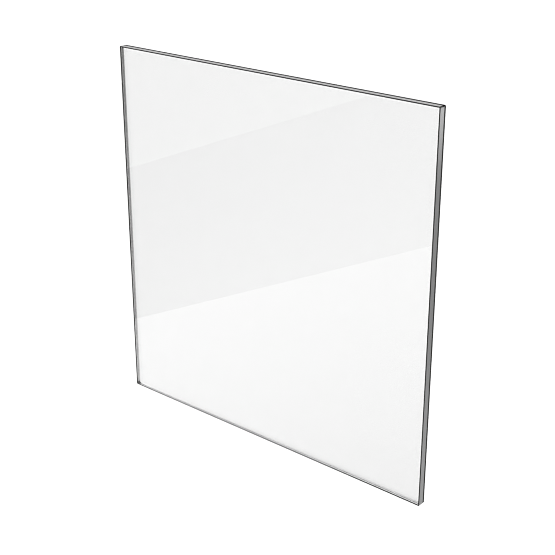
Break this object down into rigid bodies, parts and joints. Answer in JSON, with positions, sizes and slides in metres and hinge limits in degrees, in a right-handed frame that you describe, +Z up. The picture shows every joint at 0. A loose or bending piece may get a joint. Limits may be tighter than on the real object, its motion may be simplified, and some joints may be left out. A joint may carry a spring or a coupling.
{
  "type": "sneeze guard panel",
  "caption": "Clear square sneeze guard panel: a flat polished sheet that stands on edge in a channel or clamps and shields food on a buffet counter.",
  "frame": {"origin": "middle of the bottom edge, midway between the two faces", "axes": "+X along the width to the customer's right, +Y through the thickness from the customer's side to the food side, +Z up"},
  "size_m": [0.45, 0.01, 0.45],
  "materials": {
    "clear_acrylic": "clear cast acrylic, gloss faces, polished edges, fine ground arrises"
  },
  "bodies": {
    "root": {"clear_panel": "clear_acrylic"}
  },
  "joints": []
}
